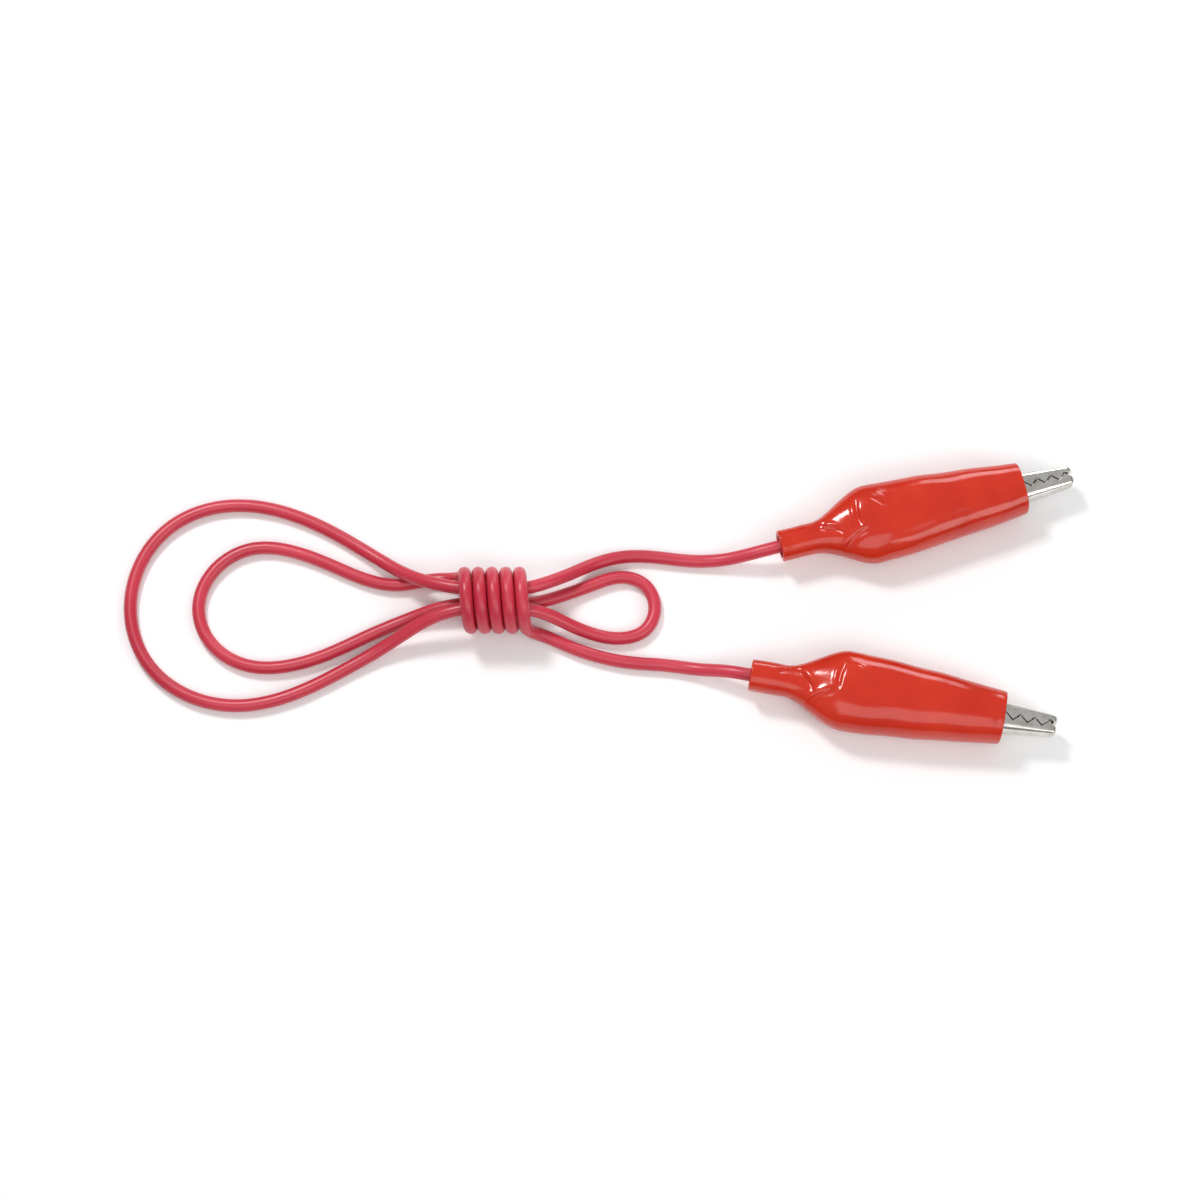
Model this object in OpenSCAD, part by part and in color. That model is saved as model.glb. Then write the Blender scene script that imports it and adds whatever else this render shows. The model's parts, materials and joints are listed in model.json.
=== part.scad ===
// Double-ended test lead: one insulated wire with a booted alligator clip at each end,
// gathered into loops and tied in the middle with its own wire.
// Each clip lies on its side, so its jaws open level with the surface.

/* [Wire] */
// Outer diameter of the insulated wire
wire_d = 1.8; // [1.5:0.05:2.2]
// Diameter of one copper strand in the conductor
strand_d = 0.29; // [0.2:0.01:0.35]
// Turns of wire wound round the folded lead
wrap_turns = 4.5; // [3.5:1:5.5]

/* [Jaws] */
// Pivot to the tip of the nose
jaw_reach = 17; // [14:0.5:21]
// Depth of one jaw at the pivot
jaw_depth = 3; // [2.5:0.05:3.6]
// Depth of one jaw at the nose
nose_depth = 1.4; // [1.15:0.05:1.7]
// Width across the fixed jaw at the pivot
jaw_w = 5; // [4.1:0.1:6]
// Width across both noses
nose_w = 2.6; // [2:0.1:3.2]
// Thickness of the pressed sheet
sheet = 0.4; // [0.3:0.02:0.5]
// Length of one tooth along the jaw
tooth_pitch = 2; // [1.5:0.05:2.5]
// Height of one tooth from root to point
tooth_h = 0.9; // [0.6:0.05:1.1]
// Gap left between the two rows of teeth when the jaws are shut
bite_gap = 0.3; // [0.1:0.05:0.5]

/* [Handles] */
// Pivot to the end of each handle
handle_l = 11.5; // [9.5:0.1:14]
// Outer face of a handle's end to the centre line
handle_spread = 4.6; // [3.8:0.05:5.6]
// Width of each handle
handle_w = 4; // [3:0.1:4.2]
// Height of the turned-up edge round each handle
lip = 0.25; // [0.1:0.05:0.4]

/* [Pivot] */
// Rivet shank diameter
rivet_d = 1.5; // [1.2:0.05:1.8]
// Rivet head height
head_h = 0.35; // [0.25:0.01:0.45]
// Spring wire diameter
spring_wire = 0.5; // [0.35:0.01:0.55]

/* [Boot] */
// Length of jaw that the boot leaves bare
jaw_bare = 7.5; // [5:0.5:9]
// Length of boot behind the handles
tail_l = 13.5; // [12:0.5:18]
// Wall of the boot
boot_wall = 0.6; // [0.4:0.02:0.72]
// Room off the handles' corners, inside the shoulder
shoulder_room = 0.2; // [0.15:0.05:1]
// Room round the jaws, inside the mouth
mouth_room = 0.9; // [0.7:0.05:1.5]
// Room round the wire, inside the tail
tail_room = 0.65; // [0.3:0.05:1]
// Room over the rivet heads
head_room = 0.15; // [0.1:0.05:0.5]

/* [Hidden] */

$fn = 48;

running_gap = 0.04;   // between faces that slide past each other
fit_gap = 0.02;       // between pieces that are gripped or threaded together
tiny = 0.01;

// Where each clip lies: its pivot in X and Y, and its heading in degrees
clip_a = [6.2, 14.2, 14];
clip_b = [2.2, -14.7, -10];

// Jaws
moving_w = jaw_w - 2 * sheet - 2 * running_gap;
ear_r = rivet_d / 2 + 0.95;
head_d = rivet_d + 1.3;
tooth_start = ear_r + 2.2;
tooth_count = floor((jaw_reach - 0.5 - tooth_start) / (tooth_pitch / 2));
flare_x = 1;          // where the handles begin to spread, behind the pivot
cheek_end = 6.5;      // where a jaw's side walls run out along the handle
handle_slope = (handle_spread - jaw_depth) / (handle_l - flare_x);

// Crimp at the end of the fixed handle. Its axis is the wire's axis, and meets the handle's end.
crimp_off = 1.39;     // from the clip's centre line to where the wire enters the crimp
crimp_bore = wire_d / 2 + fit_gap;
crimp_wall = 0.35;
crimp_l = 1.8;
tongue_l = 6.4;
tongue_w = 2;
stripped_from = 3.2;  // along the tongue, where the insulation ends
axis_drop = crimp_bore + sheet;
tongue_joint = tongue_l - 0.6;  // along the tongue, where it meets the handle's end
crimp_tilt = -asin((handle_spread - 0.1 - axis_drop - crimp_off) / tongue_joint);
crimp_at = [-handle_l - tongue_joint * cos(crimp_tilt), -crimp_off];

// Spring
spring_r = rivet_d / 2 + spring_wire / 2 + 0.3;
spring_pitch = spring_wire + 0.06;
spring_turns = 3.5;
spring_leg = 7.5;

// Boot
boot_power = 3.2;     // how square the boot's section is: 2 is an ellipse
boot_front = jaw_reach - jaw_bare;
boot_back = handle_l + tail_l;
neck_x = boot_back - 4.5;
shoulder_x = handle_l + 0.5;
mouth_w = 2 * (mix(jaw_depth, nose_depth, boot_front / jaw_reach) + mouth_room + boot_wall);
tail_w = wire_d + 2 * (tail_room + boot_wall);
boot_h = jaw_w + 2 * (head_h + head_room + boot_wall);
// The corner of a handle, where its round end starts, has the shoulder's room off the boot's inner skin
corner_y = handle_spread - handle_w / 2 * handle_slope;
corner_share = handle_w / (boot_h - 2 * boot_wall);
shoulder_w = 2 * ((corner_y + shoulder_room) / pow(1 - pow(corner_share, boot_power), 1 / boot_power) + boot_wall);
mouth_h = boot_h - 0.6;
tail_h = tail_w - 0.3;

// The tied wrap, whose axis runs along X. Three runs of the wire pass through it.
run_r = 1.75;         // from the wrap's axis to each of those runs
wrap_x = -62;
wrap_r = run_r + wire_d + 0.2;
wrap_pitch = wire_d + 0.1;
wrap_l = wrap_turns * wrap_pitch;
wrap_z = wrap_r + wire_d / 2;
wrap_end = wrap_x + wrap_l;

// Where the wire lies on the surface, its centre line is at this height.
// The third value of each point below is how far it rises above that.
rest_z = wire_d / 2 + 0.05;

// Points of the wire's route, in order from clip A to clip B
fan_a = [
    [-22, 7.3, 1.9], [-26, 6.8, 0.5], [-31, 6.8, 0], [-36.5, 7.4, 0], [-41, 7.2, 0],
    [-44.5, 5.9, 0.8], [-47.5, 4.1, 2.4], [-50.5, 2.5, 3.9]
];
outer_loop = [
    [-66, 2.4, 3.8], [-70, 4.2, 2], [-74, 6.8, 0.5], [-79, 10, 0], [-85, 13, 0], [-92, 14.8, 0],
    [-99, 14.1, 0], [-104.8, 10.4, 0], [-108, 4.4, 0], [-108.2, -2.4, 0], [-105.2, -8.7, 0],
    [-99.5, -12.8, 0], [-92.5, -14, 0], [-85.5, -12.4, 0], [-79, -9.2, 0], [-74, -6.4, 0.5],
    [-70, -4.2, 2], [-66, -2.4, 3.8]
];
return_loop = [
    [-51, -1.7, 3.3], [-48, -2.6, 1.5], [-44, -3.9, 0.1], [-40, -4.4, 0], [-36.9, -3.2, 0],
    [-35.6, 0, 0], [-36.9, 3.2, 0], [-40, 4.4, 0], [-44, 3.4, 0], [-48, 1.8, 0.4], [-51, 0.6, 1.3]
];
inner_loop = [
    [-66, -0.6, 1.2], [-70, -1.8, 0.2], [-75, -3.9, 0], [-80, -6.3, 0], [-86, -8.3, 0],
    [-92, -8.3, 0], [-97, -5.2, 0], [-99, 0, 0], [-97, 5.4, 0], [-92, 8.5, 0], [-86, 8.1, 0],
    [-80, 5.8, 0], [-75, 3.8, 0], [-71, 3.3, 0], [-68, 3.8, 0], [-65.7, 4.1, 0],
    [-64.3, 4.05, 0.3], [-63.1, 3.9, 1.1], [-62.3, 3.8, 2.3]
];
fan_b = [
    [wrap_end + 0.35, -3.8, 2.3], [wrap_end + 1.15, -3.9, 1.1], [wrap_end + 2.35, -4.1, 0.3],
    [wrap_end + 3.75, -4.6, 0], [-47, -5.8, 0], [-43.5, -7, 0], [-39, -7.9, 0], [-34, -8.3, 0], [-29.5, -9, 0.5],
    [-26, -9.6, 1.9]
];

looped_route = concat(
    in_boot(clip_a), raised(fan_a), in_wrap(30, -1), raised(outer_loop), in_wrap(150, 1),
    raised(return_loop), in_wrap(270, -1), raised(inner_loop)
);
short_route = concat(raised(fan_b), [for (k = [3:-1:0]) in_boot(clip_b)[k]]);

// ---- Functions ----

// A point in a clip's own plane, as it lies on the surface
function laid(clip, p) = [
    clip[0] + p[0] * cos(clip[2]) - p[1] * sin(clip[2]),
    clip[1] + p[0] * sin(clip[2]) + p[1] * cos(clip[2]),
    boot_h / 2
];

// A point on the crimp's axis, at a distance along it
function on_crimp(u) = [crimp_at[0] + u * cos(crimp_tilt), crimp_at[1] + u * sin(crimp_tilt)];

// The wire inside a boot, from its stripped end to the cut end of the tail
function in_boot(clip) = [
    laid(clip, on_crimp(stripped_from)),
    laid(clip, on_crimp(0)),
    laid(clip, [-boot_back + 3.2, -0.15]),
    laid(clip, [-boot_back, 0])
];

// Points of a list, each raised by the height at which the wire rests
function raised(points) = [for (p = points) p + [0, 0, rest_z]];

// A run through the wrap, on the side at that angle. Way is 1 towards the clips and -1 away.
function in_wrap(angle, way) = [for (k = [-1:1]) [
    wrap_x + wrap_l / 2 + way * k * wrap_l / 2,
    run_r * cos(angle),
    wrap_z + run_r * sin(angle)
]];

// A point at share t of the way from p1 to p2 on a smooth curve through p0, p1, p2 and p3
function smooth_point(p0, p1, p2, p3, t) =
    (2 * p1 + (p2 - p0) * t + (2 * p0 - 5 * p1 + 4 * p2 - p3) * t * t
        + (3 * p1 - p0 - 3 * p2 + p3) * t * t * t) / 2;

// The smooth curve through a list of points
function smooth_route(p) = let(last = len(p) - 1) concat(
    [for (i = [0:last - 1], t = [0:2 - (norm(p[i + 1] - p[i]) > 5.5 ? 1 : 2)])
        smooth_point(p[max(i - 1, 0)], p[i], p[i + 1], p[min(i + 2, last)],
            t / (norm(p[i + 1] - p[i]) > 5.5 ? 2 : 1))],
    [p[last]]
);

function unit(v) = v / norm(v);

// Direction of a path at its point i
function heading(p, i) = unit(p[min(i + 1, len(p) - 1)] - p[max(i - 1, 0)]);

// Ring of n points of radius r round a path's point i
function ring(p, i, r, n) = let(
    along = heading(p, i),
    side = unit(cross(along, [0, 0, 1])),
    up = cross(side, along)
) [for (k = [0:n - 1]) p[i] + r * (side * cos(360 * (k + 0.5) / n) + up * sin(360 * (k + 0.5) / n))];

// Faces that join a stack of closed rings of n points, with flat ends
function skin_faces(rings, n) = concat(
    [[for (k = [0:n - 1]) k]],
    [for (i = [0:rings - 2], k = [0:n - 1])
        [i * n + k, (i + 1) * n + k, (i + 1) * n + (k + 1) % n, i * n + (k + 1) % n]],
    [[for (k = [n - 1:-1:0]) (rings - 1) * n + k]]
);

function mix(a, b, t) = a + (b - a) * t;

// Smooth step from 0 to 1 as x goes from a to b
function ease(x, a, b) = let(t = min(max((x - a) / (b - a), 0), 1)) t * t * (3 - 2 * t);

// Half width and half height of the boot at x, from the pivot
function boot_half_w(x) = x < -shoulder_x
    ? mix(tail_w, shoulder_w, ease(x, -neck_x, -shoulder_x)) / 2
    : mix(shoulder_w, mouth_w, pow((x + shoulder_x) / (boot_front + shoulder_x), 1.4)) / 2;
function boot_half_h(x) = x < 0
    ? mix(tail_h, boot_h, ease(x, -neck_x, -shoulder_x + 2)) / 2
    : mix(boot_h, mouth_h, ease(x, 0, boot_front)) / 2;

// One number to a power, keeping its sign
function signed_pow(v, e) = sign(v) * pow(abs(v), e);

// The boot's section at x, shrunk by inset
function boot_section(x, inset, n) = [for (k = [0:n - 1]) [
    x,
    (boot_half_w(x) - inset) * signed_pow(cos(360 * k / n), 2 / boot_power),
    (boot_half_h(x) - inset) * signed_pow(sin(360 * k / n), 2 / boot_power)
]];

// ---- Shared shapes ----

// Stands a clip's piece where that clip lies
module lay(clip) {
    translate([clip[0], clip[1], boot_h / 2]) rotate([0, 0, clip[2]]) children();
}

// Stands a piece on the crimp's axis, which becomes its Z
module along_crimp() {
    translate([crimp_at[0], crimp_at[1], 0]) rotate([0, 0, crimp_tilt]) rotate([0, 90, 0]) children();
}

// A tube of radius r along a path
module tube(path, r, sides) {
    polyhedron(
        points = [for (i = [0:len(path) - 1]) each ring(path, i, r, sides)],
        faces = skin_faces(len(path), sides)
    );
}

// Side view of one jaw, its handle and its ear, whose plate is on the -Y side of the pivot.
// Phase turns the teeth over, so that the two jaws mesh.
module jaw_side(phase) {
    polygon(concat(
        [for (i = [0:tooth_count])
            [tooth_start + i * tooth_pitch / 2, phase * (i % 2 == 0 ? 0.5 : -0.5) * tooth_h - bite_gap / 2]],
        [
            [jaw_reach, -bite_gap / 2 - tooth_h * 0.35],
            [jaw_reach, -nose_depth * 0.6],
            [jaw_reach - 0.2, -nose_depth * 0.85],
            [jaw_reach - 0.7, -nose_depth],
            [flare_x, -jaw_depth],
            [-flare_x, -jaw_depth],
            [-handle_l, -handle_spread],
            [-handle_l, -handle_spread + sheet + lip],
            [-cheek_end, -jaw_depth - (cheek_end - flare_x) * handle_slope + sheet + lip]
        ],
        [for (k = [0:16]) let(a = mix(217, -37, k / 16)) ear_r * [cos(a), sin(a)]],
        [[tooth_start - tooth_pitch / 2, -bite_gap / 2 - tooth_h / 2]]
    ));
}

// Side view of the channel pressed into a jaw: all that lies inside its sheet
module channel_side() {
    polygon([
        [jaw_reach - sheet, jaw_depth],
        [jaw_reach - sheet, -nose_depth + sheet + 0.1],
        [jaw_reach - sheet - 0.3, -nose_depth + sheet],
        [flare_x, -jaw_depth + sheet],
        [-flare_x, -jaw_depth + sheet],
        [-handle_l - 1, -handle_spread - handle_slope + sheet],
        [-handle_l - 1, jaw_depth]
    ]);
}

// Plan of a jaw of width w at the pivot, less inset on each side
module jaw_plan(w, inset) {
    polygon([
        [jaw_reach, nose_w / 2 - 0.5 - inset],
        [jaw_reach - 0.6, nose_w / 2 - inset],
        [ear_r, w / 2 - inset],
        [-ear_r - 0.4, w / 2 - inset],
        [-ear_r - 2, handle_w / 2 - inset],
        [-handle_l + handle_w / 2, handle_w / 2 - inset],
        [-handle_l + handle_w / 2, -handle_w / 2 + inset],
        [-ear_r - 2, -handle_w / 2 + inset],
        [-ear_r - 0.4, -w / 2 + inset],
        [ear_r, -w / 2 + inset],
        [jaw_reach - 0.6, -nose_w / 2 + inset],
        [jaw_reach, -nose_w / 2 + 0.5 + inset]
    ]);
    translate([-handle_l + handle_w / 2, 0]) circle(r = handle_w / 2 - inset);
}

// One pressed jaw with its handle, bored for the rivet
module jaw(w, bore_r, phase) {
    difference() {
        intersection() {
            linear_extrude(height = w, center = true) jaw_side(phase);
            rotate([90, 0, 0]) linear_extrude(height = 4 * handle_spread, center = true) jaw_plan(w, 0);
        }
        intersection() {
            linear_extrude(height = w, center = true) channel_side();
            rotate([90, 0, 0]) linear_extrude(height = 4 * handle_spread, center = true) jaw_plan(w, sheet);
        }
        cylinder(h = w + 1, r = bore_r, center = true);
    }
}

// ---- Sub-parts of a clip, each in the clip's own frame ----

// Jaw that holds the wire: its handle ends in a tongue with a crimped ring round the insulation
module fixed_jaw() color("silver") {
    jaw(jaw_w, rivet_d / 2, 1);
    along_crimp() {
        translate([-tongue_w / 2, -axis_drop, 1.4]) cube([tongue_w, sheet, tongue_l - 1.4]);
        difference() {
            translate([0, 0, 1]) cylinder(h = crimp_l, r = crimp_bore + crimp_wall);
            cylinder(h = tongue_l, r = crimp_bore);
            translate([-0.2, 0, 0]) cube([0.4, 2 * wire_d, tongue_l]);
        }
    }
}

// Jaw that swings: its ears turn inside those of the fixed jaw
module moving_jaw() color("silver") {
    mirror([0, 1, 0]) jaw(moving_w, rivet_d / 2 + running_gap, -1);
}

// Rivet through both pairs of ears, with a low dome at each end
module rivet() color("gainsboro") {
    rotate_extrude() polygon([
        [0, -jaw_w / 2 - head_h],
        [head_d / 2 - 0.5, -jaw_w / 2 - head_h],
        [head_d / 2 - 0.15, -jaw_w / 2 - head_h * 0.7],
        [head_d / 2, -jaw_w / 2],
        [rivet_d / 2, -jaw_w / 2],
        [rivet_d / 2, jaw_w / 2],
        [head_d / 2, jaw_w / 2],
        [head_d / 2 - 0.15, jaw_w / 2 + head_h * 0.7],
        [head_d / 2 - 0.5, jaw_w / 2 + head_h],
        [0, jaw_w / 2 + head_h]
    ]);
}

// Torsion spring on the rivet, with a leg along the inside of each handle
module spring() color("dimgray") {
    leg_y = jaw_depth + (spring_leg - flare_x) * handle_slope - sheet - spring_wire / 2 - 0.05;
    steps = 18;
    half_l = spring_turns * spring_pitch / 2;
    path = concat(
        [[-spring_leg, -leg_y, -half_l]],
        [for (i = [0:spring_turns * steps]) [
            spring_r * sin(360 * i / steps),
            -spring_r * cos(360 * i / steps),
            -half_l + spring_pitch * i / steps
        ]],
        [[-spring_leg, leg_y, half_l]]
    );
    tube(path, spring_wire / 2, 8);
}

// Bare end of the conductor: seven strands side by side
module strands() color("chocolate") {
    along_crimp() translate([0, 0, stripped_from]) {
        cylinder(h = tongue_l - stripped_from, d = strand_d);
        for (k = [0:5])
            rotate([0, 0, 60 * k]) translate([strand_d + tiny, 0, 0])
                cylinder(h = tongue_l - stripped_from - 0.1, d = strand_d);
    }
}

// Solder that joins the strands to the tongue
module solder() color("lightgray") {
    bundle_r = 1.5 * strand_d + 2 * tiny;
    along_crimp() difference() {
        translate([0, 0, stripped_from + 1.9]) rotate_extrude() polygon([
            [bundle_r, -0.9],
            [bundle_r + 0.2, -0.9],
            [crimp_bore + 0.03, -0.4],
            [crimp_bore + 0.03, 0.4],
            [bundle_r + 0.2, 0.9],
            [bundle_r, 0.9]
        ]);
        translate([-2, -axis_drop - 1, 0]) cube([4, 1 + sheet, 2 * tongue_l]);
    }
}

// Soft sleeve over the clip: a plain shell that is open at the mouth and the tail
module boot() color("firebrick") {
    n = 28;
    xs = [
        -boot_back, -neck_x, for (k = [1:5]) mix(-neck_x, -shoulder_x, k / 5),
        for (k = [1:7]) mix(-shoulder_x, boot_front, k / 7)
    ];
    m = len(xs);
    outer = [for (x = xs) each boot_section(x, 0, n)];
    inner = [for (x = xs) each boot_section(x, boot_wall, n)];
    polyhedron(
        points = concat(outer, inner),
        faces = concat(
            [for (i = [0:m - 2], k = [0:n - 1])
                [i * n + k, i * n + (k + 1) % n, (i + 1) * n + (k + 1) % n, (i + 1) * n + k]],
            [for (i = [0:m - 2], k = [0:n - 1])
                [(m + i) * n + k, (m + i + 1) * n + k, (m + i + 1) * n + (k + 1) % n,
                    (m + i) * n + (k + 1) % n]],
            [for (k = [0:n - 1]) [k, m * n + k, m * n + (k + 1) % n, (k + 1) % n]],
            [for (k = [0:n - 1]) [(m - 1) * n + k, (m - 1) * n + (k + 1) % n,
                (2 * m - 1) * n + (k + 1) % n, (2 * m - 1) * n + k]]
        )
    );
}

// ---- The wire ----

// From clip A through the wrap, round the loops, to where the winding starts
module looped_run() color("indianred") {
    tube(smooth_route(looped_route), wire_d / 2, 8);
}

// The turns wound round the folded lead, as their outer shape
module wire_wrap() color("indianred") {
    translate([wrap_x, 0, wrap_z]) rotate([0, 90, 0]) difference() {
        cylinder(h = wrap_l, r = wrap_r + wire_d / 2);
        translate([0, 0, -1]) cylinder(h = wrap_l + 2, r = wrap_r - wire_d / 2);
    }
}

// From the end of the winding to clip B
module short_run() color("indianred") {
    tube(smooth_route(short_route), wire_d / 2, 8);
}

lay(clip_a) fixed_jaw();  // clip_a_fixed_jaw
lay(clip_a) moving_jaw();  // clip_a_moving_jaw
lay(clip_a) rivet();  // clip_a_rivet
lay(clip_a) spring();  // clip_a_spring
lay(clip_a) strands();  // clip_a_strands
lay(clip_a) solder();  // clip_a_solder
lay(clip_a) boot();  // clip_a_boot
lay(clip_b) fixed_jaw();  // clip_b_fixed_jaw
lay(clip_b) moving_jaw();  // clip_b_moving_jaw
lay(clip_b) rivet();  // clip_b_rivet
lay(clip_b) spring();  // clip_b_spring
lay(clip_b) strands();  // clip_b_strands
lay(clip_b) solder();  // clip_b_solder
lay(clip_b) boot();  // clip_b_boot
looped_run();  // wire_looped_run
wire_wrap();
short_run();  // wire_short_run
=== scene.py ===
"""Double-ended test lead: thin red wire, looped and tied with its own turns, and a booted clip at each end.

Lengths are written in millimetres and multiplied by MM. Each clip is made in its own frame, whose origin
is the rivet: +x towards the nose, +y the way the moving jaw opens, +z up. A Clip stands it where it lies.
"""
import json
import math

import bmesh
import bpy
import numpy as np
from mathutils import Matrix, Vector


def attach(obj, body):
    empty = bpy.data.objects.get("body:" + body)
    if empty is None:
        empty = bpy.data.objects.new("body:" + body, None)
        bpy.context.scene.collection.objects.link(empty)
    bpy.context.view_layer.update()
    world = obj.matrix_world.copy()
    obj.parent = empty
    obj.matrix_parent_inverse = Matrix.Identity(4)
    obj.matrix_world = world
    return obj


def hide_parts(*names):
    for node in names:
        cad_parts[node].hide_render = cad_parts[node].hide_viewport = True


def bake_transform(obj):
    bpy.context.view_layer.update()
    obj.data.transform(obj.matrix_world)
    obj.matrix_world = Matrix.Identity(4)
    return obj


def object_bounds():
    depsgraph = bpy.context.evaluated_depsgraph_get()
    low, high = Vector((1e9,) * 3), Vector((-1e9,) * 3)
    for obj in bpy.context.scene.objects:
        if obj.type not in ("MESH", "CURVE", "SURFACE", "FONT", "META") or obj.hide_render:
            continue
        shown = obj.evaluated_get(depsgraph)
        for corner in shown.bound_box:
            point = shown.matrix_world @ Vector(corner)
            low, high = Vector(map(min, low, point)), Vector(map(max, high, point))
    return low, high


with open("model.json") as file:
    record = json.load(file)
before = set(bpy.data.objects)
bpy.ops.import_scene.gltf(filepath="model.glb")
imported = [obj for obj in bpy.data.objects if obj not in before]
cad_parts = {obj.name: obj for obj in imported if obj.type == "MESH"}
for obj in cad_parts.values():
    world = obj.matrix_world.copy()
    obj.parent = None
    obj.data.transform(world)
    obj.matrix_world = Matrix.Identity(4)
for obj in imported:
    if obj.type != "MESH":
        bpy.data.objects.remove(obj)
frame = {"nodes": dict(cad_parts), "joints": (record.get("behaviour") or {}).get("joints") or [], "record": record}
cad_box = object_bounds()

MM = 0.001

# Wire
WIRE_R = 0.9
REST_Z = WIRE_R + 0.05          # height of the wire's centre line where it lies on the table
RUN_R = 1.75                    # from the tie's axis to each of the three runs inside it
TIE_R = RUN_R + 2 * WIRE_R + 0.2   # 0.2 is the room between the turns and the runs
TIE_Z = TIE_R + WIRE_R
TIE_X = -62
TIE_TURNS = 4.5
TIE_PITCH = 1.9

# Clip
HALF_THICK = 3.6                # half the boot's height, so the rivet's middle is this high
NOSE_X = 17
MOUTH_X = 9.5
TAIL_X = -25
NECK_X = -20.5
SHOULDER_X = -12
BOOT_WALL = 0.6
SHEET = 0.4
JAW_DEPTH = 3                   # from the rivet's axis to the back of a jaw, at the rivet and at the nose
NOSE_DEPTH = 1.4
JAW_HALF_WIDTH = 2.5
NOSE_HALF_WIDTH = 1.3
RUNNING_GAP = 0.04
TOOTH_PITCH = 2
TOOTH_H = 0.9
BITE_GAP = 0.3                  # between the two rows of teeth when the jaws are shut
EAR_R = 1.7
RIVET_R = 0.75
TOOTH_START = EAR_R + 2.2
HANDLE_L = 11.5
HANDLE_SPREAD = 4.6             # from the rivet's axis to the back of a handle, at its end
HANDLE_HALF_WIDTH = 2
LIP = 0.25                      # how far a handle's rim stands in from its plate
FLARE_X = 1                     # where a handle starts to slope away from the axis
CHEEK_END = 6.5                 # where the ears' walls have run down to the rim
HANDLE_SLOPE = (HANDLE_SPREAD - JAW_DEPTH) / (HANDLE_L - FLARE_X)
CRIMP_AT = (-17.017, -1.39)
CRIMP_TILT = math.radians(-17.98)
NOSE_ROUND = 0.7
BEND_R = 1.0                    # outside of the bend between a jaw's back and its walls
SHOULDER_HALF = 5.57            # half the boot's width at the shoulder, the mouth and the tail
MOUTH_HALF = 3.6
TAIL_HALF = 2.15
MOUTH_HALF_HEIGHT = 3.3
TAIL_HALF_HEIGHT = 2.0
BEND_SLANT = 0.2                # a slanting direction across the boot, (BEND_SLANT, 1), and two distances along it
BEND_START = -3.4
BEND_END = 5.4
CRIMP_WALL = 0.35
SNUG = 0.02                     # room between the wire and the metal round it
SPRING_R = 1.3
SPRING_WIRE_R = 0.25
SPRING_PITCH = 0.56
SPRING_TURNS = 3.5
SPRING_LEG = 7.5


# ---- Places ----

class Clip:
    """Where one clip lies: its rivet, and its heading, read from the frame."""

    def __init__(self, letter):
        joint = next(j for j in frame["joints"] if j["name"] == f"clip_{letter}_open")
        bite = next(m for m in frame["record"]["mounts"] if m["name"] == f"clip_{letter}_bite")
        self.letter = letter
        self.body = f"jaw_{letter}"
        self.rivet = np.array(joint["pos_m"])
        self.ahead = np.array(bite["axis"])
        self.left = np.array([-self.ahead[1], self.ahead[0], 0])

    def place(self, points):
        """Points of the clip's own frame, in mm, as they lie in the shared frame, in metres."""
        p = np.atleast_2d(points) * MM
        return self.rivet + p[:, :1] * self.ahead + p[:, 1:2] * self.left + p[:, 2:3] * np.array([0, 0, 1])


CLIPS = [Clip("a"), Clip("b")]


# ---- Arithmetic ----

def ease(x, a, b):
    """Smooth step: 0 before a, 1 after b, and 3t² - 2t³ between."""
    t = np.clip((np.asarray(x, float) - a) / (b - a), 0, 1)
    return t * t * (3 - 2 * t)


def mix(a, b, t):
    """Straight mix of a and b by t."""
    return a + (b - a) * t


def bump(x, centre, width):
    """Bell curve of height 1: e to the minus ((x - centre) / width) squared."""
    return np.exp(-(((x - centre) / width) ** 2))


def signed_power(v, e):
    """A number to a power, keeping its sign."""
    return np.sign(v) * np.abs(v) ** e


def spline(points, step):
    """Natural cubic spline through the points, resampled to even steps of arc length.

    The parameter is the chord length. The second derivatives m solve the usual three-term equations,
    h0·m0 + 2(h0 + h1)·m1 + h1·m2 = 6·(slope1 - slope0), with m = 0 at both ends.
    """
    p = np.asarray(points, float)
    h = np.linalg.norm(np.diff(p, axis=0), axis=1)
    t = np.r_[0, np.cumsum(h)]
    n = len(p)
    a = np.eye(n)
    inner = np.arange(1, n - 1)
    a[inner, inner - 1] = h[:-1]
    a[inner, inner] = 2 * (h[:-1] + h[1:])
    a[inner, inner + 1] = h[1:]
    slope = np.diff(p, axis=0) / h[:, None]
    rhs = np.zeros_like(p)
    rhs[1:-1] = 6 * np.diff(slope, axis=0)
    m = np.linalg.solve(a, rhs)

    def at(s):
        i = np.clip(np.searchsorted(t, s, side="right") - 1, 0, n - 2)
        u = ((s - t[i]) / h[i])[:, None]
        v = 1 - u
        hh = h[i][:, None] ** 2 / 6
        return v * p[i] + u * p[i + 1] + hh * ((v ** 3 - v) * m[i] + (u ** 3 - u) * m[i + 1])

    fine = at(np.linspace(0, t[-1], 40 * n))
    along = np.r_[0, np.cumsum(np.linalg.norm(np.diff(fine, axis=0), axis=1))]
    even = np.linspace(0, along[-1], int(round(along[-1] / step)) + 1)
    return np.stack([np.interp(even, along, fine[:, k]) for k in range(3)], axis=1)


def carried_frames(path):
    """Two directions across a path, at each of its points. They are carried from ring to ring, each
    made square to the new direction, so that they never twist or flip."""
    along = np.gradient(path, axis=0)
    along /= np.linalg.norm(along, axis=1)[:, None]
    side = np.empty_like(path)
    s = np.cross(along[0], [0, 0, 1])
    for i, a in enumerate(along):
        s = s - a * (s @ a)
        s = s / np.linalg.norm(s)
        side[i] = s
    return side, np.cross(side, along)


# ---- Meshes ----

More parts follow.
